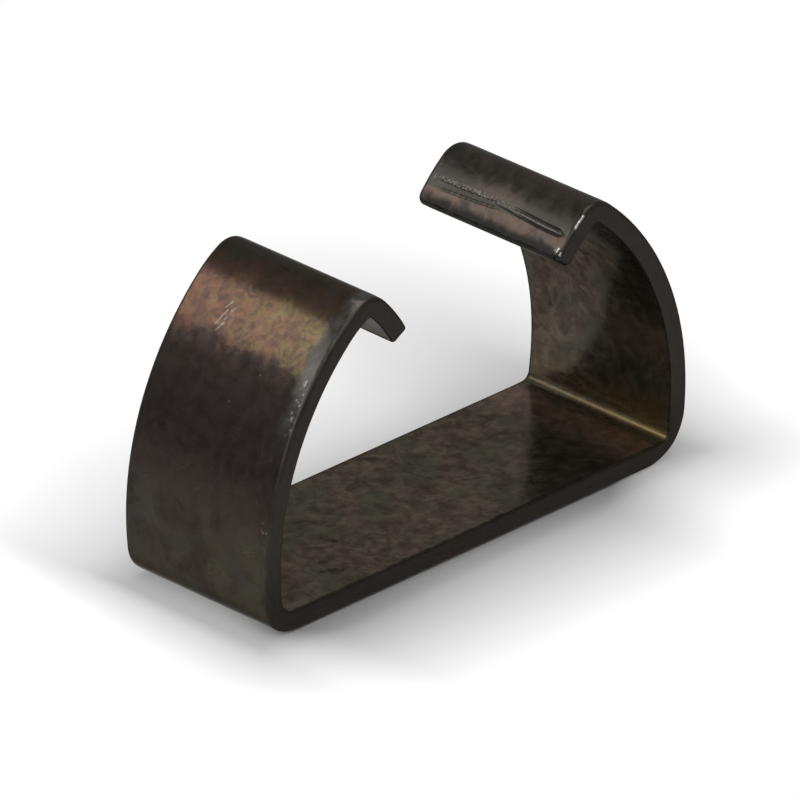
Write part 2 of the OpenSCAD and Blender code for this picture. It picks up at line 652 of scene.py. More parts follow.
    def _creased(self, points: np.ndarray) -> np.ndarray:
        """How far each point sinks from the inner face in the right foot bend, where the folding
        tool's edge made a tighter bend inside than the metal has outside.

        Args:
            points: The blank's points.

        Returns:
            The drop of each point, largest on the inner face and none on the outer one.
        """
        strip, foot = self.strip, self.strip.right[0]
        half = foot.angle / 2
        turn = (points[:, 0] - strip.base_length / 2) / strip.middle_radius(foot)
        off = np.abs(turn - half)
        centre = (foot.inside - self.crease_radius) / math.cos(half)
        tangent = half - math.atan(centre * math.sin(half) / foot.inside)
        round_part = centre * np.cos(off) + np.sqrt(np.maximum(
            self.crease_radius ** 2 - (centre * np.sin(off)) ** 2, 0.0))
        flat_part = foot.inside / np.cos(np.clip(half - off, -half, half))
        surface = np.where(off < tangent, round_part, flat_part)
        drop = np.where(off < half, surface - foot.inside, 0.0)
        return drop * np.clip(points[:, 2] / strip.thickness, 0, 1)

    def _leaning(self, points: np.ndarray) -> np.ndarray:
        """How much further each point of the left lip's end reaches because it is out of square."""
        strip = self.strip
        length = strip.arm_length(Side.LEFT)
        along_left = -points[:, 0] - strip.base_length / 2
        share = np.clip((along_left - length + self.lean_from) / self.lean_from, 0, 1)
        return self.lean * share * np.clip(-2 * points[:, 1] / strip.width, 0, 1)


# ---------------------------------------------------------------- the folding tree

@dataclass(frozen=True)
class Folding:
    """Folds a blank about the strip's bends with a geometry node tree."""

    strip: Strip
    name: str = "fold_the_strip"

    def apply(self, blank: bpy.types.Mesh, finish: bpy.types.Material) -> bpy.types.Object:
        """Folds the blank and returns it as a plain mesh object at the origin.

        Args:
            blank: The flat mesh.
            finish: The material that the tree sets.

        Returns:
            The folded strip.
        """
        tree, sizes = self._tree()
        holder = bpy.data.objects.new("blank", blank)
        bpy.context.scene.collection.objects.link(holder)
        modifier = holder.modifiers.new("fold", "NODES")
        modifier.node_group = tree
        for identifier, value in sizes.items():
            modifier[identifier] = value
        modifier[self._identifier(tree, "Finish")] = finish
        graph = bpy.context.evaluated_depsgraph_get()
        graph.update()
        mesh = bpy.data.meshes.new_from_object(
            holder.evaluated_get(graph), preserve_all_data_layers=True, depsgraph=graph)
        bpy.data.objects.remove(holder)
        mesh.name = PIECE
        piece = bpy.data.objects.new(PIECE, mesh)
        bpy.context.scene.collection.objects.link(piece)
        return piece

    @staticmethod
    def _identifier(tree: bpy.types.NodeTree, name: str) -> str:
        """The identifier of the tree's input of that name."""
        return next(i.identifier for i in tree.interface.items_tree
                    if i.name == name and i.in_out == "INPUT")

    def _tree(self) -> tuple[bpy.types.NodeTree, dict[str, float]]:
        """Builds the tree.

        Returns:
            The tree, and the value of each of its sizes by its input's identifier.
        """
        strip = self.strip
        tree = bpy.data.node_groups.new(self.name, "GeometryNodeTree")
        graph = Graph(tree)
        values = {"Thickness": strip.thickness, "Base length": strip.base_length,
                  "Base shift": strip.shift()}
        for side in Side:
            for bend in strip.bends(side):
                label = f"{side.name.title()} {bend.name}"
                values[f"{label} inside radius"] = bend.inside
                values[f"{label} angle"] = bend.angle
        face = tree.interface
        face.new_socket("Geometry", in_out="OUTPUT", socket_type="NodeSocketGeometry")
        face.new_socket("Geometry", in_out="INPUT", socket_type="NodeSocketGeometry")
        for label in values:
            face.new_socket(label, in_out="INPUT", socket_type="NodeSocketFloat")
        face.new_socket("Finish", in_out="INPUT", socket_type="NodeSocketMaterial")
        entry = graph.node("NodeGroupInput", {}, {})
        size = {label: Wire(graph, entry.outputs[label]) for label in values}

        place = graph.output("GeometryNodeInputPosition", {}, {})
        folded = self._folded(graph, place, size)
        kept = graph.node("GeometryNodeStoreNamedAttribute",
                          {"data_type": "FLOAT_VECTOR", "domain": "POINT"},
                          {"Geometry": Wire(graph, entry.outputs["Geometry"]), "Name": FLAT})
        value_input = next(s for s in kept.inputs if s.name == "Value" and s.type == "VECTOR")
        tree.links.new(place.socket, value_input)
        moved = graph.output("GeometryNodeSetPosition", {},
                             {"Geometry": Wire(graph, kept.outputs[0]), "Position": folded})
        smooth = graph.output("GeometryNodeSetShadeSmooth", {},
                              {"Geometry": moved, "Shade Smooth": True})
        real = graph.output("GeometryNodeRealizeInstances", {}, {"Geometry": smooth})
        dressed = graph.output("GeometryNodeSetMaterial", {},
                               {"Geometry": real, "Material": Wire(graph, entry.outputs["Finish"])})
        graph.node("NodeGroupOutput", {}, {"Geometry": dressed})
        return tree, {self._identifier(tree, label): value for label, value in values.items()}

    def _folded(self, graph: Graph, place: Wire, size: dict[str, Wire]) -> Wire:
        """Where each point of the blank lies once the strip is folded.

        Args:
            graph: The tree's graph.
            place: The point on the flat blank.
            size: The tree's sizes by name.

        Returns:
            The folded place.
        """
        x, y, z = graph.parts(place)
        is_left = x < 0.0
        side = 1.0 - 2.0 * is_left
        height = z - size["Thickness"] * 0.5
        half_base = size["Base length"] * 0.5
        left = abs(x) - half_base
        line_x, line_z = abs(x).least(half_base), None
        heading: Value = 0.0
        for bend in self.strip.right:
            radius = self._either(graph, is_left, size, f"{bend.name} inside radius")
            radius = radius + size["Thickness"] * 0.5
            angle = self._either(graph, is_left, size, f"{bend.name} angle")
            turned = (left / radius).most(0.0).least(angle)
            after = turned if line_z is None else heading + turned
            sine = graph.math("SINE", after) - graph.math("SINE", heading)
            cosine = graph.math("COSINE", heading) - graph.math("COSINE", after)
            line_x = line_x + radius * sine
            line_z = radius * cosine if line_z is None else line_z + radius * cosine
            left = left - radius * angle
            heading = after
        folded_x = line_x - height * graph.math("SINE", heading)
        folded_z = line_z + height * graph.math("COSINE", heading) + size["Thickness"] * 0.5
        return graph.vector(folded_x * side + size["Base shift"], y, folded_z)

    @staticmethod
    def _either(graph: Graph, is_left: Wire, size: dict[str, Wire], what: str) -> Wire:
        """The left or the right arm's size, whichever the point belongs to."""
        right, left = size[f"Right {what}"], size[f"Left {what}"]
        return right + (left - right) * is_left


# ---------------------------------------------------------------- the finish

Colour = tuple[float, float, float]         # linear red, green and blue
Ends = tuple[float, float]
PLUM: Colour = (0.044, 0.033, 0.030)
TAN: Colour = (0.122, 0.076, 0.047)
RUST: Colour = (0.122, 0.065, 0.043)
ASH: Colour = (0.074, 0.070, 0.064)


class Measure(Enum):
    """What a stretch of the finish is measured along. Each is a field of Place."""

    LEFT = "left"
    RIGHT = "right"
    TIP = "tip"
    ACROSS = "across"
    HEIGHT = "height"
    RAGGED_LEFT = "ragged_left"
    RAGGED_TIP = "ragged_tip"


@dataclass(frozen=True)
class Place:
    """Where a point of the surface lies on the flat blank, in millimetres, and the patterns there,
    all as shader values.

    Attributes:
        flat: The place itself.
        point: The place with the two faces' patterns set well apart.
        left: Distance along the left arm, from the base.
        right: Distance along the right arm, from the base.
        tip: Distance from the end of the right lip.
        across: Place across the strip.
        height: Height from the outer face.
        lower: 1 on the outer face and its edges, 0 on the inner face and its edges.
        outer: 1 on the outer face, 0 on the edges and the inner face.
        inner: 1 on the inner face, 0 on the edges and the outer face.
        mottle: Medium mottling, from 0 to 1.
        cloud: Coarse mottling, from 0 to 1.
        grain: Fine mottling, from 0 to 1.
        wave: Noise that makes the right lip's bands uneven.
        ragged_left: The distance along the left arm, made uneven.
        ragged_tip: The distance from the end of the right lip, made uneven.
    """

    flat: Wire
    point: Wire
    left: Wire
    right: Wire
    tip: Wire
    across: Wire
    height: Wire
    lower: Wire
    outer: Wire
    inner: Wire
    mottle: Wire
    cloud: Wire
    grain: Wire
    wave: Wire
    ragged_left: Wire
    ragged_tip: Wire


@dataclass(frozen=True)
class Noise:
    """Noise over the strip.

    Attributes:
        scale: Its waves to a millimetre.
        detail: How many finer layers it has.
        roughness: How strong they are.
        distortion: How far it is drawn about.
        seed: Its fixed seed.
        ends: The values that are stretched to 0 and 1, or none to leave them as they are.
    """

    scale: float
    detail: float
    roughness: float
    distortion: float
    seed: float
    ends: Optional[Ends] = None

    def over(self, graph: Graph, point: Wire) -> Wire:
        """The noise at a place, with its seed as the fourth coordinate."""
        value = graph.output("ShaderNodeTexNoise", {"noise_dimensions": "4D"}, {
            "Vector": point, "W": self.seed, "Scale": self.scale, "Detail": self.detail,
            "Roughness": self.roughness, "Distortion": self.distortion})
        return graph.smooth(value, *self.ends) if self.ends else value


@dataclass(frozen=True)
class Band:
    """A stretch with soft ends, in millimetres.

    Attributes:
        rise: Where it sets in, from nothing to full, or none where it has no start.
        fall: Where it dies out, from full to nothing, or none where it has no end.
        least: What is left of it outside.
    """

    rise: Optional[Ends] = None
    fall: Optional[Ends] = None
    least: float = 0.0

    def share(self, graph: Graph, value: Wire) -> Wire:
        """1 inside the stretch, easing to its least outside."""
        shares = []
        if self.rise:
            shares.append(graph.smooth(value, *self.rise, self.least, 1.0))
        if self.fall:
            shares.append(graph.smooth(value, *self.fall, 1.0, self.least))
        return reduce(mul, shares)


Stretches = dict[Measure, Band]
PAST_GROOVE: Stretches = {Measure.TIP: Band((1.9, 2.3)), Measure.RAGGED_TIP: Band(fall=(2.7, 3.5)),
                          Measure.ACROSS: Band((-3.5, -0.5), (1.5, 4.5))}


def within(graph: Graph, place: Place, stretches: Stretches) -> Wire:
    """1 where a point is inside all of the stretches, easing to 0 outside any of them."""
    return reduce(mul, (band.share(graph, getattr(place, measure.value))
                        for measure, band in stretches.items()))


def weighted(amounts: Sequence[float], patterns: Sequence[Wire]) -> Wire:
    """The patterns' sum, each by its amount."""
    return reduce(add, (amount * pattern for amount, pattern in zip(amounts, patterns)))


@dataclass(frozen=True)
class Tint:
    """A colour laid over a stretch of one face: a tint of heat or wear, and in some layers painted
    light.

    Attributes:
        colour: The colour.
        stretches: Where it lies.
        share: How much of it shows.
        mottled: How much more shows where the medium mottling is strongest.
        clouded: How much more shows where the coarse mottling is strongest.
        inner: Whether it is on the inner face.
    """

    colour: Colour
    stretches: Stretches
    share: float = 0.0
    mottled: float = 0.0
    clouded: float = 0.0
    inner: bool = False

    def over(self, graph: Graph, place: Place, colour: Wire) -> Wire:
        """Lays the tint over a colour.

        Args:
            graph: The material's graph.
            place: The place on the blank.
            colour: The colour below.

        Returns:
            The tinted colour.
        """
        share: Value = self.share
        for amount, pattern in ((self.mottled, place.mottle), (self.clouded, place.cloud)):
            if amount:
                share = amount * pattern + share
        face = place.inner if self.inner else place.outer
        return graph.mix(colour, self.colour, within(graph, place, self.stretches) * face * share)


@dataclass(frozen=True)
class Stroke:
    """A scratch or a spot on one face, in millimetres on the flat blank.

    Attributes:
        start: One end, as (distance along the strip from its middle, place across it).
        end: The other end, the same as the start for a spot.
        width: Width of the line or the spot.
        inner: Whether it is on the inner face.
        core: Share of the width that the stroke fills.
        blur: Share of the width at which it has faded out.
    """

    start: tuple[float, float]
    end: tuple[float, float]
    width: float
    inner: bool = False
    core: float = 0.25
    blur: float = 0.7

    def mask(self, graph: Graph, place: Place, rough: Wire) -> Wire:
        """1 on the stroke, 0 elsewhere.

        Args:
            graph: The material's graph.
            place: The place on the blank.
            rough: Noise about 0 that breaks the stroke's edge up.

        Returns:
            The mask.
        """
        (x0, y0), (x1, y1) = self.start, self.end
        turn = math.atan2(y1 - y0, x1 - x0)
        x, y = (x0 + x1) / 2, (y0 + y1) / 2
        move = (-x * math.cos(turn) - y * math.sin(turn), x * math.sin(turn) - y * math.cos(turn), 0)
        along, across, _ = graph.parts(graph.placed(place.flat, move=move, turn=(0, 0, -turn)))
        past = (abs(along) - math.hypot(x1 - x0, y1 - y0) / 2).most(0.0)
        away = (past * past + across * across) ** 0.5 + rough * self.width
        mask = graph.smooth(away, self.blur * self.width, self.core * self.width)
        return mask * (1.0 - place.lower if self.inner else place.lower)


@dataclass(frozen=True)
class HeatPatch:
    """The patch of cells that heat has tinted on the left arm, by the crown: straw, tan and rust
    from its greenest to its reddest part.

    The two ends of tan and of rust are values of the blotches, and the slant is what each
    millimetre across the strip adds to them. A vein is a middle value of its noise.
    """

    straw: Colour = (0.122, 0.092, 0.046)
    blotches: Noise = Noise(0.75, 3.0, 0.6, 0.8, 5.0)
    slant: float = 0.035
    tan_ends: Ends = (0.36, 0.46)
    rust_ends: Ends = (0.52, 0.66)
    cells: Noise = Noise(0.95, 1.0, 0.5, 1.4, 8.0, (0.36, 0.6))
    cell_share: float = 0.5
    veins: Noise = Noise(1.2, 1.0, 0.5, 0.6, 18.0)
    vein_width: float = 0.09
    vein_share: float = 0.22
    along: Band = Band((17.0, 18.5), (20.9, 22.3))
    side: Band = Band((-5.7, -4.7))
    side_wave: float = 0.6

    def over(self, graph: Graph, place: Place, colour: Wire) -> Wire:
        """Lays the patch over a colour.

        Args:
            graph: The material's graph.
            place: The place on the blank.
            colour: The colour below.

        Returns:
            The tinted colour.
        """
        blotch = self.blotches.over(graph, place.point) + place.across * self.slant
        patch = graph.mix(self.straw, TAN, graph.smooth(blotch, *self.tan_ends))
        patch = graph.mix(patch, RUST, graph.smooth(blotch, *self.rust_ends))
        cell = self.cells.over(graph, place.point)
        vein = graph.smooth(abs(self.veins.over(graph, place.point) - 0.5), self.vein_width, 0.0)
        dark = (vein * self.vein_share + (1.0 - cell) * self.cell_share).clamp()
        patch = graph.mix(patch, PLUM, dark)
        edge = place.across + (place.cloud - 0.5) * self.side_wave
        share = self.along.share(graph, place.ragged_left) * self.side.share(graph, edge)
        return graph.mix(colour, patch, share * place.outer)


@dataclass(frozen=True)
class LipStain:
    """The uneven bands by the end of the right lip: dark at the end itself, then speckled rust and
    grey up to the pressed groove.

    The groove gets nearer to the lip's end by its slant for each millimetre past its turn.
    """

    end_dark: Colour = (0.012, 0.011, 0.011)
    groove_tip: float = 1.5
    groove_slant: float = 0.045
    groove_turn: float = -0.6
    rust_band: Band = Band((0.45, 0.95))
    rust_stop: Band = Band(fall=(-0.1, 0.05))
    rust_ends: Ends = (0.42, 0.6)
    rust_shares: Ends = (0.05, 0.4)
    rust_side: Band = Band((2.0, 5.0))
    rust_more: float = 0.3
    rust_share: float = 0.75
    end_dark_band: Band = Band(fall=(0.45, 1.05))
    end_dark_side: Band = Band(fall=(5.4, 6.2))
    end_dark_edge: float = 0.5
    end_dark_share: float = 0.85

    def over(self, graph: Graph, place: Place, colour: Wire) -> Wire:
        """Lays the bands over a colour.

        Args:
            graph: The material's graph.
            place: The place on the blank.
            colour: The colour below.

        Returns:
            The stained colour.
        """
        groove = self.groove_tip - self.groove_slant * (place.across - self.groove_turn).most(0.0)
        rusty = (self.rust_band.share(graph, place.ragged_tip)
                 * self.rust_stop.share(graph, place.tip - groove))
        share = (graph.smooth(place.wave, *self.rust_ends, *self.rust_shares)
                 + self.rust_more * self.rust_side.share(graph, place.across))
        specks = graph.mix(graph.mix(PLUM, ASH, place.mottle), RUST, share)
        colour = graph.mix(colour, specks, rusty * place.outer * self.rust_share)
        # darker by the lip's end itself, fully on the outer face and half as much on its edges
        dark = (self.end_dark_band.share(graph, place.ragged_tip)
                * self.end_dark_side.share(graph, place.across))
        where = (place.outer + self.end_dark_edge).clamp()
        return graph.mix(colour, self.end_dark, dark * where * self.end_dark_share)


@dataclass(frozen=True)
class Wear:
    """Where the oxide is worn off: specks on the left arm's rolled edge and by the right lip's
    corner, dots along the torn end of the pressed groove, and its floor, with painted highlights on
    the floor's ribs.

    The torn line and the floor are each at a distance from the lip's end, which changes by
    their slant for each millimetre across the strip.
    """

    specks: Noise = Noise(2.6, 3.0, 0.7, 0.0, 31.0, (0.52, 0.66))
    rolled: Band = Band((-6.25, -5.95), (-5.75, -5.45))
    rim: Band = Band((13.6, 14.6), (17.6, 18.6))
    low_rim: Band = Band((6.0, 6.6), (8.0, 8.6))
    low_rim_share: float = 0.4
    rim_share: float = 0.95
    corner: Band = Band((0.25, 0.6), (0.8, 1.15))
    corner_share: float = 0.4
    over_edge: float = 0.3
    dots: Noise = Noise(6.5, 1.0, 0.5, 0.0, 32.0, (0.5, 0.62))
    torn_tip: float = 1.96
    torn_slant: float = 0.012
    torn_width: Band = Band(fall=(0.06, 0.28))
    torn_length: Band = Band((-1.6, 0.6), (5.2, 6.2))
    torn_share: float = 0.6
    floor_tip: float = 1.93
    floor_slant: float = 0.05
    floor_width: Band = Band(fall=(0.06, 0.16))
    floor_length: Band = Band((-5.75, -5.4), (-3.5, 0.5))
    # spacing of the painted highlights on the groove floor's ribs, and the floor's wear between and
    # on them
    rib: float = 0.21
    floor_shares: Ends = (0.05, 0.26)
    faintest: float = 0.4

    def share(self, graph: Graph, place: Place) -> Wire:
        """How much of the oxide is worn off, with the painted rib highlights, from 0 to 1.

        Args:
            graph: The material's graph.
            place: The place on the blank.

        Returns:
            The share.
        """
        uneven = self.faintest + (1.0 - self.faintest) * place.grain
        rolled = self.rolled.share(graph, place.across)
        rim = rolled * (self.rim.share(graph, place.left)
                        + self.low_rim_share * self.low_rim.share(graph, place.left))
        corner = self.corner.share(graph, place.tip) * rolled
        where = (rim * self.rim_share + corner * self.corner_share) * (place.outer + self.over_edge)
        off_torn = abs(place.tip - self.torn_tip + self.torn_slant * place.across)
        torn = (self.torn_width.share(graph, off_torn)
                * self.torn_length.share(graph, place.across) * place.outer)
        off_floor = abs(place.tip - self.floor_tip - self.floor_slant * place.across)
        floor = (self.floor_width.share(graph, off_floor)
                 * self.floor_length.share(graph, place.across) * place.outer)
        # painted highlights: light stripes across the groove floor for its ribs
        ribs = graph.math("SINE", place.across * (2.0 * math.pi / self.rib)) * 0.5 + 0.5
        between, rib_highlight_share = self.floor_shares
        return (self.specks.over(graph, place.point) * uneven * where.clamp()
                + self.dots.over(graph, place.point) * torn * self.torn_share * place.grain
                + floor * (between + rib_highlight_share * ribs) * uneven)


@dataclass(frozen=True)
class Scratches:
    """Fine scratches in several directions, each a middle value of a noise drawn out long.

    Attributes:
        lines: The noise of the first direction. The others' seeds follow on its seed.
        patches: Where the first direction's scratches are.
        turns: The directions, in degrees.
        stretch: How the noise is drawn out.
        width: How far from its middle value a scratch reaches.
    """

    lines: Noise = Noise(1.0, 1.0, 0.5, 0.2, 11.0)
    patches: Noise = Noise(0.5, 1.0, 0.5, 0.0, 31.0, (0.5, 0.66))
    turns: tuple[float, ...] = (20.0, -65.0, 78.0)
    stretch: tuple[float, float, float] = (0.16, 1.3, 1.0)
    width: float = 0.012

    def share(self, graph: Graph, place: Place) -> Wire:
        """1 on the scratches, 0 between them."""
        lines: Value = 0.0
        for number, turn in enumerate(self.turns):
            turned = graph.placed(place.point, turn=(0.0, 0.0, math.radians(turn)))
            drawn_out = graph.placed(turned, scale=self.stretch)
            field = replace(self.lines, seed=self.lines.seed + number).over(graph, drawn_out)
            patches = replace(self.patches, seed=self.patches.seed + number)
            line = graph.smooth(abs(field - 0.5), self.width, 0.0)
            lines = line * patches.over(graph, place.point) + lines
        return lines.clamp()


@dataclass(frozen=True)
class OilTemperedSteel:
    """Spring steel under a thin, uneven oxide: dark olive brown, half glossy.

    What is given as two numbers is a least share and what a pattern adds to it, or the two
    values of a pattern between which a share rises.
    """

    strip: Strip
    name: str = "dark_spring_steel"
    # the oxide: of the outer face, of the inner face, and of the cut edges along the base and the
    # arms, those of the arms painted lighter as a painted reflection; then the bare metal
    olive: Colour = (0.062, 0.053, 0.036)
    umber: Colour = (0.044, 0.033, 0.026)
    slate: Colour = (0.036, 0.038, 0.036)
    sand: Colour = (0.110, 0.091, 0.070)
    bark: Colour = (0.053, 0.042, 0.034)
    moss: Colour = (0.071, 0.069, 0.050)
    edge: Colour = (0.026, 0.022, 0.019)
    # the arms' edges, painted lighter than the base's as a painted reflection of the paler floor
    edge_painted_lighter_on_arms: Colour = (0.040, 0.035, 0.031)
    bare: Colour = (0.300, 0.290, 0.270)
    # the colour of the painted glints
    painted_glint_colour: Colour = (0.560, 0.550, 0.530)
    arms: Band = Band((2.0, 7.0))
    edge_share: float = 0.85
    slate_ends: Ends = (0.5, 0.85)
    slate_share: float = 0.5
    sand_shares: Ends = (0.3, 0.6)
    moss_ends: Ends = (0.5, 0.9)
    moss_share: float = 0.7
    layers: tuple[Union[Tint, HeatPatch, LipStain], ...] = (
        # the zone below the patch, a darkening over the shoulder and on to the lip's end, and the
        # scorched line between them
        Tint(PLUM, {Measure.RAGGED_LEFT: Band((6.5, 9.5), (17.6, 18.9))}, 0.85),
        Tint((0.024, 0.021, 0.019), {Measure.RAGGED_LEFT: Band((21.6, 23.2))}, 0.35, clouded=0.3),
        Tint((0.062, 0.036, 0.027), {Measure.RAGGED_LEFT: Band((20.6, 21.4), (22.4, 23.4))}, 0.4,
             mottled=0.4),
        HeatPatch(),
        # the grey of the left arm's rolled edge
        Tint(ASH, {Measure.ACROSS: Band(fall=(-5.5, -4.8)), Measure.LEFT: Band((12.0, 15.0))}, 0.45,
             mottled=0.4),
        # a painted reflection on the base by the right foot: the brown glow that the foot bend
        # mirrors there
        Tint((0.150, 0.106, 0.088), {Measure.RIGHT: Band((-3.4, -1.0), (0.6, 1.6))}, 0.5,
             mottled=0.4, inner=True),
        # a painted reflection: the bright patch on the inner face of the left lip
        Tint((0.190, 0.176, 0.150), {Measure.LEFT: Band((24.7, 25.5))}, 1.0, inner=True),
        # a painted highlight: the golden glow above the right foot's crease
        Tint((0.150, 0.112, 0.052), {Measure.RIGHT: Band((1.5, 2.0), (2.8, 6.0)),
                                     Measure.ACROSS: Band(fall=(-5.0, 4.5), least=0.25)}, 1.0,
             inner=True),
        # the blue grey of the right shoulder
        Tint(slate, {Measure.TIP: Band(fall=(4.0, 6.5))}, 0.45),
        LipStain(),
        # grey and tan past the groove, and brown below the shoulder
        Tint(ASH, PAST_GROOVE, 0.35),
        Tint(TAN, PAST_GROOVE, mottled=0.3),
        Tint(bark, {Measure.RAGGED_TIP: Band((3.0, 3.7)), Measure.TIP: Band(fall=(4.5, 5.5)),
                    Measure.ACROSS: Band(fall=(4.5, 5.8))}, 0.7),
    )
    # the reflection: roughness of the smoothest and the dullest oxide, and what the edges, dark
    # marks, bare steel and the crease in the right foot add to it
    metallic: float = 0.72
    inner_metallic: float = 0.84
    gloss: Ends = (0.13, 0.24)
    dull: tuple[float, float, float, float] = (0.2, 0.15, 0.1, 0.14)
    crease: Band = Band((0.6, 1.3), (2.9, 3.6))
    # its tint and its level, which are low to keep the oxide dark at low angles
    tint: float = 0.35
    level: float = 0.15
    # brightness of the oxide, and what the mottling and the grain add to it
    tone: tuple[float, float, float] = (0.77, 0.34, 0.14)
    scratch_tone: float = 0.25
    # depth of the finest relief, and the shares of it by which the grain, the mottling,
    # scratches, dark marks and wear stand out
    relief: float = 0.0018 * MM
    standing: tuple[float, ...] = (0.4, 0.6, -0.5, -1.0, 0.6)
    # medium, coarse and fine patterns, the waves of the right lip's bands, and the roughness of
    # the strokes' edges
    mottling: Noise = Noise(1.15, 4.0, 0.62, 0.4, 1.0, (0.3, 0.7))
    clouding: Noise = Noise(0.36, 2.0, 0.5, 0.6, 2.0, (0.34, 0.66))
    graining: Noise = Noise(6.0, 3.0, 0.6, 0.0, 3.0, (0.25, 0.75))
    waving: Noise = Noise(0.8, 3.0, 0.6, 0.4, 41.0)
    fraying: Noise = Noise(3.2, 2.0, 0.6, 0.0, 17.0)
    fray: float = 2.4
    # how far the patterns shift the left arm's tints and the right lip's bands
    left_wave: Ends = (0.9, 0.7)
    tip_wave: Ends = (1.3, 0.1)
    # the border between a face and its edges, and how the two faces' patterns are kept apart
    bordering: Noise = Noise(1.6, 3.0, 0.6, 0.0, 7.0)
    border_wave: float = 0.5
    border: Ends = (0.08, 0.34)
    outer_side: Band = Band(fall=(0.7, 0.8))
    face_gap: float = 7.0
    # dark blotches on the inner face, and short dark strokes aslant to it
    blots: Noise = Noise(0.5, 3.0, 0.6, 1.0, 9.0, (0.5, 0.62))
    streaks: Noise = Noise(1.0, 3.0, 0.6, 0.8, 10.0, (0.57, 0.68))
    streak_turn: float = 38.0
    streak_stretch: tuple[float, float, float] = (0.7, 1.9, 1.0)
    streak_shares: tuple[float, float, float] = (0.6, 0.5, 0.85)
    scratches: Scratches = Scratches()
    wear: Wear = Wear()
    # scratches and specks that shine, and painted glints: highlights painted on the right lip's near
    # edge
    bright: tuple[Stroke, ...] = (
        Stroke((-34.1, 2.9), (-35.2, 2.5), 0.1),
        Stroke((-34.6, 2.35), (-35.5, 2.05), 0.09),
        Stroke((-33.8, 2.6), (-34.4, 2.3), 0.1),
        Stroke((-35.3, 2.75), (-35.8, 2.45), 0.08),
        Stroke((-30.2, -0.7), (-30.2, -0.7), 0.16),
        Stroke((-32.4, -2.2), (-32.4, -2.2), 0.12),
    )
    shine: Ends = (0.1, 0.4)
    glints: tuple[Stroke, ...] = (
        Stroke((40.0, -6.27), (40.9, -6.27), 0.11),
        Stroke((42.45, -5.95), (42.6, -5.9), 0.12),
        Stroke((42.6, -6.2), (42.75, -6.2), 0.1),
    )
    glitter: Ends = (0.35, 0.75)
    glint_height: Band = Band(fall=(0.12, 0.2))
    # scratches and spots that are darker than the oxide, and the darkening where the marks by the
    # right lip's end are pressed in deepest
    dark: tuple[Stroke, ...] = (
        Stroke((-38.8, 0.25), (-38.95, 1.15), 0.12),
        Stroke((-10.3, -4.0), (-10.0, -4.25), 0.5, inner=True),
        Stroke((-10.8, -3.6), (-10.9, -3.8), 0.25, inner=True),
        Stroke((-9.9, -2.7), (-9.7, -2.9), 0.4, inner=True),
        Stroke((-7.6, -0.9), (-7.3, -1.2), 0.4, inner=True),
        Stroke((2.7, 2.6), (3.2, 0.6), 0.16, inner=True),
        Stroke((4.4, -0.9), (5.5, -1.5), 0.16, inner=True),
        Stroke((24.2, 4.4), (24.3, 4.4), 0.45, inner=True),
        Stroke((32.5, -2.9), (32.6, -2.8), 0.4, inner=True),
    )
    stroke_dirt: float = 0.42
    pressed: tuple[tuple[Measure, Band], ...] = (
        (Measure.HEIGHT, Band((0.035, 0.075))), (Measure.TIP, Band(fall=(3.0, 3.4))),
        (Measure.ACROSS, Band((-5.95, -5.8), (5.8, 5.95))))
    pressed_darkening: float = 0.6

    def material(self) -> bpy.types.Material:
        """Builds the material."""
        material = bpy.data.materials.new(self.name)
        material.use_nodes = True
        graph = Graph(material.node_tree)
        place = self._place(graph)
        scratch, worn = self.scratches.share(graph, place), self.wear.share(graph, place)
        edges = (1.0 - place.outer - place.inner).clamp()
        darkening, shine, glint = self._marks(graph, place)

        colour = graph.mix(self._outer(graph, place), self._inner(graph, place), place.inner)
        for layer in self.layers:
            colour = layer.over(graph, place, colour)
        # painted reflection: the arms' edges are painted lighter than the base's, whose edges face
        # the shaded floor
        on_arms = self.arms.share(graph, place.left.most(place.right))
        edge_painted_lighter_on_arms = graph.mix(self.edge, self.edge_painted_lighter_on_arms, on_arms)
        colour = graph.mix(colour, edge_painted_lighter_on_arms, edges * self.edge_share)
        plain, mottled, grained = self.tone
        tone = ((plain + mottled * place.mottle + grained * place.grain)
                * (1.0 + self.scratch_tone * scratch) * (1.0 - darkening))
        colour = graph.mix(colour, graph.vector(tone, tone, tone), 1.0, "MULTIPLY")
        # bare steel where worn and on the shining strokes, and the painted highlights on the groove
        # floor's ribs
        colour = graph.mix(colour, self.bare, (worn + shine).clamp())
        # painted highlights: the glints on the right lip's near edge
        colour = graph.mix(colour, self.painted_glint_colour, glint)

        smoothest, dullest = self.gloss
        crease = self.crease.share(graph, place.right) * place.inner
        roughness = smoothest + (dullest - smoothest) * place.mottle + weighted(
            self.dull, (edges, darkening, worn, crease))
        height = weighted(self.standing, (place.grain, place.mottle, scratch, darkening, worn))
        normal = graph.output("ShaderNodeBump", {},
                              {"Strength": 1.0, "Distance": self.relief, "Height": height})
        shader = graph.output("ShaderNodeBsdfPrincipled", {}, {
            "Base Color": colour, "Roughness": roughness,
            "Metallic": self.metallic + (self.inner_metallic - self.metallic) * place.inner,
            "Normal": normal, "Specular Tint": (self.tint, self.tint, self.tint, 1.0),
            "Specular IOR Level": self.level})
        graph.node("ShaderNodeOutputMaterial", {}, {"Surface": shader})
        return material

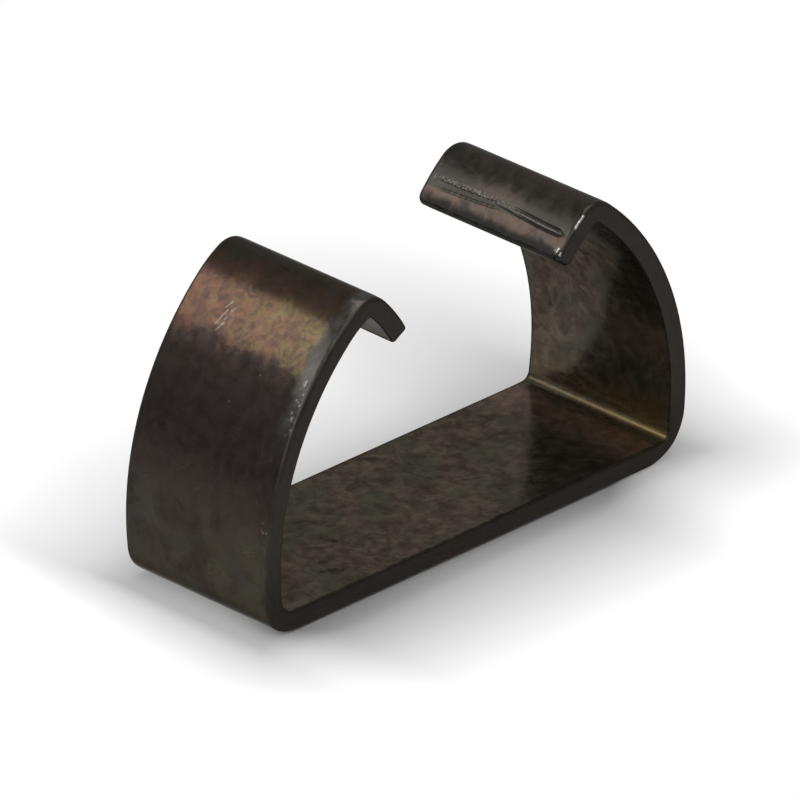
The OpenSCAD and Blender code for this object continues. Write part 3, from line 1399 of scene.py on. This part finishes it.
    def _place(self, graph: Graph) -> Place:
        """Reads the place on the flat blank, and lays the patterns that the finish shares."""
        flat = graph.output("ShaderNodeAttribute",
                            {"attribute_name": FLAT, "attribute_type": "GEOMETRY"}, {}, "Vector")
        along, across, height = (part / MM for part in graph.parts(flat))
        half_base = self.strip.base_length / 2 / MM
        right_end = half_base + self.strip.arm_length(Side.RIGHT) / MM
        left_end = half_base + self.strip.arm_length(Side.LEFT) / MM
        half_width = self.strip.width / 2 / MM
        point = graph.vector(along, across, height * self.face_gap)
        ragged = (self.bordering.over(graph, point) - 0.5) * self.border_wave
        to_edge = (half_width - abs(across)).least(right_end - along).least(left_end + along)
        face = graph.smooth(to_edge + ragged, *self.border)
        lower = self.outer_side.share(graph, height)
        mottle, cloud, grain, wave = (noise.over(graph, point) for noise in (
            self.mottling, self.clouding, self.graining, self.waving))
        left, tip = -along - half_base, right_end - along
        return Place(
            flat=graph.vector(along, across, height), point=point, left=left,
            right=along - half_base, tip=tip, across=across, height=height, lower=lower,
            outer=face * lower, inner=face * (1.0 - lower), mottle=mottle, cloud=cloud,
            grain=grain, wave=wave,
            ragged_left=left + weighted(self.left_wave, (cloud - 0.5, mottle - 0.5)),
            ragged_tip=tip + weighted(self.tip_wave, (wave - 0.5, mottle - 0.5)))

    def _outer(self, graph: Graph, place: Place) -> Wire:
        """The outer face's oxide where no heat has tinted it."""
        colour = graph.mix(self.umber, self.olive, place.cloud)
        slate = graph.smooth(place.mottle, *self.slate_ends) * self.slate_share
        return graph.mix(colour, self.slate, slate)

    def _inner(self, graph: Graph, place: Place) -> Wire:
        """The inner face's oxide, with its dark blotches and aslant strokes."""
        least, more = self.sand_shares
        colour = graph.mix(self.bark, self.sand, least + place.mottle * more)
        mossy = graph.smooth(place.cloud, *self.moss_ends) * self.moss_share
        colour = graph.mix(colour, self.moss, mossy)
        turned = graph.placed(place.point, turn=(0.0, 0.0, math.radians(self.streak_turn)))
        drawn_out = graph.placed(turned, scale=self.streak_stretch)
        blot_share, streak_share, share = self.streak_shares
        dark = (self.blots.over(graph, place.point) * blot_share
                + self.streaks.over(graph, drawn_out) * streak_share).clamp()
        return graph.mix(colour, self.bark, dark * share)

    def _marks(self, graph: Graph, place: Place) -> tuple[Wire, Wire, Wire]:
        """The marks that are drawn one by one.

        Args:
            graph: The material's graph.
            place: The place on the blank.

        Returns:
            How dark, how bare and how much painted glint the surface has by them, each from 0 to 1.
        """
        rough = (self.fraying.over(graph, place.point) - 0.5) * self.fray

        def drawn(strokes: tuple[Stroke, ...]) -> Wire:
            """1 on the strokes, 0 elsewhere."""
            return reduce(add, (s.mask(graph, place, rough) for s in strokes)).clamp()

        pressed = within(graph, place, dict(self.pressed)) * place.outer
        darkening = (drawn(self.dark) * self.stroke_dirt + pressed * self.pressed_darkening).clamp()
        (faint_shine, more_shine), (faint_glint, more_glint) = self.shine, self.glitter
        shine = drawn(self.bright) * (faint_shine + more_shine * place.grain)
        # painted highlights along the right lip's near edge
        glint = drawn(self.glints) * (faint_glint + more_glint * place.grain)
        return darkening, shine, (glint * self.glint_height.share(graph, place.height)).clamp()


# ---------------------------------------------------------------- the studio

@dataclass(frozen=True)
class Panel:
    """A soft light panel.

    Attributes:
        name: What the panel is called.
        azimuth: Where it stands, in degrees from +Y towards +X.
        elevation: How high it stands, in degrees.
        distance: How far it is from the part.
        width: Its width.
        height: Its height.
        level: Its brightness, where 1 is white.
    """

    name: str
    azimuth: float
    elevation: float
    distance: float
    width: float
    height: float
    level: float

    def build(self, aim: Vector) -> None:
        """Builds the panel, facing the part."""
        azimuth, elevation = math.radians(self.azimuth), math.radians(self.elevation)
        way = Vector((math.sin(azimuth) * math.cos(elevation),
                      math.cos(azimuth) * math.cos(elevation), math.sin(elevation)))
        light = bpy.data.lights.new(self.name, "AREA")
        light.shape = "RECTANGLE"
        light.size, light.size_y = self.width, self.height
        light.energy = self.level * math.pi * self.width * self.height
        lamp = bpy.data.objects.new(self.name, light)
        lamp.location = aim + way * self.distance
        lamp.rotation_euler = way.to_track_quat("Z", "Y").to_euler()
        lamp.visible_camera = False
        bpy.context.scene.collection.objects.link(lamp)


@dataclass(frozen=True)
class Studio:
    """A pale floor with a painted shadow pool round the part, an even room that is paler behind the
    part, and soft panels.

    Attributes:
        floor_size: Side of the floor.
        floor_drop: How far the floor lies below the part.
        floor_colour: The floor's grey.
        contact: How much darker the painted contact shadow makes the floor right by the part.
        contact_reach: How far that reaches, as a share of the way to where it is white.
        beside: How far past the left foot the floor turns white.
        beside_shares: What share of that it is behind the strip and in front of it.
        beyond: How far past the right foot.
        beyond_share: What share of that it is in front of the strip.
        before: How far in front of the strip.
        behind: How far behind it.
        behind_from: Where that changes to either side, as a share of the part's reach.
        behind_less: How much less it is behind the left arm. Behind the right one it doubles.
        rise: How fast the floor turns white on the way out, and how white it is at the part.
        lift: How much whiter it is elsewhere by the part than in the painted shade in front of the
            base.
        front: Where that painted shade in front of the base lies, as shares of the part's reach.
        mirrored: How white the floor by the part is to a reflection.
        mirrored_reach: Distance at which that has faded out.
        dim: Brightness of the room overhead.
        pale: How much brighter it is behind the part.
        dark: How much darker it is low down on the left.
        glow: How much brighter it is round the left panel.
        rear: How the room turns into what is behind the part, by the way there.
        left: The same for the left.
        low: The same for what is low down.
        glow_height: How high the glow lies.
        backdrop: Brightness of the room to the camera.
        aim_height: The height that the panels face.
        panels: The light panels.
    """

    floor_size: float = 3.0
    floor_drop: float = 0.02 * MM
    floor_colour: float = 0.47
    contact: float = 0.25
    contact_reach: float = 0.25
    beside: float = 5 * MM
    beside_shares: Ends = (0.9, 1.45)
    beyond: float = 16.5 * MM
    beyond_share: float = 0.7
    before: float = 11 * MM
    behind: float = 22 * MM
    behind_from: float = 0.4
    behind_less: float = 0.2
    rise: Ends = (1.05, -0.16)
    lift: float = 0.42
    front: Band = Band((-1.0, -0.7), (0.45, 0.85))
    mirrored: float = 0.65
    mirrored_reach: float = 180 * MM
    dim: float = 0.34
    pale: float = 0.4
    dark: float = 0.06
    glow: float = 0.25
    rear: Band = Band((0.1, 0.75))
    left: Band = Band((0.5, 0.9))
    low: Band = Band(fall=(0.4, 0.75))
    glow_height: Band = Band((0.18, 0.45), (0.6, 0.8))
    backdrop: float = 0.97
    aim_height: float = 8 * MM
    panels: tuple[Panel, ...] = (
        Panel("left_panel", -61.0, 40.2, 0.6, 0.74, 0.184, 2.1),
        Panel("side_panel", -103.0, 22.0, 0.6, 0.3, 0.26, 1.6),
        Panel("front_panel", -135.0, 55.0, 0.7, 0.34, 0.34, 3.0),
        Panel("top_panel", 45.0, 84.0, 0.6, 0.45, 0.45, 2.2),
    )

    def build(self) -> None:
        """Builds the floor, the room and the panels."""
        aim = Vector((0.0, 0.0, self.aim_height))
        for panel in self.panels:
            panel.build(aim)
            log.info("light panel %s", panel.name)
        self._floor()
        self._room()
        bpy.context.scene.view_settings.view_transform = "Standard"

    @staticmethod
    def _seen(graph: Graph) -> tuple[Wire, Wire]:
        """1 for what the camera sees itself, and 1 for what it sees in a mirror or through
        glass."""
        path = graph.node("ShaderNodeLightPath", {}, {})
        camera, glossy, through = (Wire(graph, path.outputs[name]) for name in (
            "Is Camera Ray", "Is Glossy Ray", "Is Transmission Ray"))
        return camera, (glossy + through).clamp()

    def _floor(self) -> None:
        """Builds the floor, which keeps the part's real shadow, carries a painted shadow pool and a
        painted contact shadow round the part, and is white further out.
        """
        half = self.floor_size / 2
        mesh = bpy.data.meshes.new("floor")
        mesh.from_pydata([(x * half, y * half, -self.floor_drop)
                          for x, y in ((-1, -1), (1, -1), (1, 1), (-1, 1))], [], [(0, 1, 2, 3)])
        floor = bpy.data.objects.new("floor", mesh)
        bpy.context.scene.collection.objects.link(floor)
        material = bpy.data.materials.new("pale_floor")
        material.use_nodes = True
        graph = Graph(material.node_tree)
        x, y, _ = graph.parts(graph.output("ShaderNodeTexCoord", {}, {}, "Object"))
        reach, half_width = Strip().reach(Side.RIGHT), Strip().width / 2
        # painted shadow pool: the floor stays grey by the part and turns white over reaches that
        # differ by side, longer to the right and behind the right arm
        beside = self.beside * graph.smooth(y, 2.0 * half_width, -half_width, *self.beside_shares)
        beyond = self.beyond * graph.smooth(y, half_width, -half_width, 1.0, self.beyond_share)
        past_x = (-x - reach).most(0.0) / beside + (x - reach).most(0.0) / beyond
        turn = self.behind_from * reach
        behind = self.behind * (1.0 + graph.smooth(x, turn, reach)
                                - self.behind_less * graph.smooth(x, -turn, -reach))
        past_y = (y - half_width).most(0.0) / behind + (-y - half_width).most(0.0) / self.before
        away = (past_x * past_x + past_y * past_y) ** 0.5
        # painted shade in front of the base, where the floor is whitened less
        front = self.front.share(graph, x / reach) * graph.smooth(y, 0.0, -half_width)
        slope, start = self.rise
        white = (away * slope + start + self.lift * (1.0 - front)).clamp()
        camera, mirror = self._seen(graph)
        far = graph.smooth((x * x + y * y) ** 0.5, self.mirrored_reach, reach)
        white = white * camera + (self.mirrored * far) * mirror
        # painted contact shadow: the floor's grey is darkened right by the part
        shade = self.floor_colour * (1.0 - self.contact * graph.smooth(away, self.contact_reach, 0.0))
        paint = graph.output("ShaderNodeBsdfDiffuse", {},
                             {"Color": graph.vector(shade, shade, shade)})
        glow = graph.output("ShaderNodeEmission", {}, {"Color": (1.0, 1.0, 1.0, 1.0)})
        mixed = graph.output("ShaderNodeMixShader", {}, {0: white, 1: paint, 2: glow})
        graph.node("ShaderNodeOutputMaterial", {}, {"Surface": mixed})
        mesh.materials.append(material)

    def _room(self) -> None:
        """Gives the world its light."""
        world = bpy.data.worlds.new("room")
        bpy.context.scene.world = world
        world.use_nodes = True
        graph = Graph(world.node_tree)
        x, y, z = graph.parts(graph.output("ShaderNodeTexCoord", {}, {}, "Generated"))
        rear = self.rear.share(graph, (x + y) * math.sqrt(0.5))
        left = self.left.share(graph, (y - x) * math.sqrt(0.5))
        low = self.low.share(graph, z)
        level = (self.dim + self.pale * rear * low - self.dark * left * low
                 + self.glow * self.glow_height.share(graph, z) * left)
        camera = Wire(graph, graph.node("ShaderNodeLightPath", {}, {}).outputs["Is Camera Ray"])
        level = level + (self.backdrop - level) * camera
        light = graph.output("ShaderNodeBackground", {},
                             {"Color": graph.vector(level, level, level)})
        graph.node("ShaderNodeOutputWorld", {}, {"Surface": light})


@dataclass(frozen=True)
class Camera:
    """The camera, on the near left of the part and looking down at it."""

    azimuth: float = -45.053
    elevation: float = 26.513
    distance: float = 0.9692
    lens: float = 691.57        # millimetres
    sensor: float = 36.0        # millimetres
    clip: Ends = (0.01, 20.0)
    aim: tuple[float, float, float] = (-0.714 * MM, 0.0, 8.370 * MM)

    def build(self) -> None:
        """Builds the camera and makes it the scene's."""
        azimuth, elevation = math.radians(self.azimuth), math.radians(self.elevation)
        back = Vector((math.sin(azimuth) * math.cos(elevation),
                       -math.cos(azimuth) * math.cos(elevation), math.sin(elevation)))
        right = Vector((math.cos(azimuth), math.sin(azimuth), 0.0))
        lens = bpy.data.cameras.new("camera")
        lens.lens, lens.sensor_width, lens.sensor_fit = self.lens, self.sensor, "HORIZONTAL"
        lens.clip_start, lens.clip_end = self.clip
        camera = bpy.data.objects.new("camera", lens)
        turn = Matrix((right, back.cross(right), back)).transposed()
        camera.matrix_world = (Matrix.Translation(Vector(self.aim) + back * self.distance)
                               @ turn.to_4x4())
        bpy.context.scene.collection.objects.link(camera)
        bpy.context.scene.camera = camera


def main() -> None:
    """Builds the camera, the studio and the clip, in that order."""
    logging.basicConfig(level=logging.INFO, format="%(name)s: %(message)s")
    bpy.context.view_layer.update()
    Camera().build()
    Studio().build()
    strip = Strip()
    finish = OilTemperedSteel(strip).material()
    blank = Blank(strip, ToolMarks()).mesh()
    clip = Folding(strip).apply(blank, finish)
    log.info("piece %s: %d faces, %d points", clip.name, len(clip.data.polygons),
             len(clip.data.vertices))
    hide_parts(NODE)
    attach(clip, BODY)


if __name__ == "__main__":
    main()
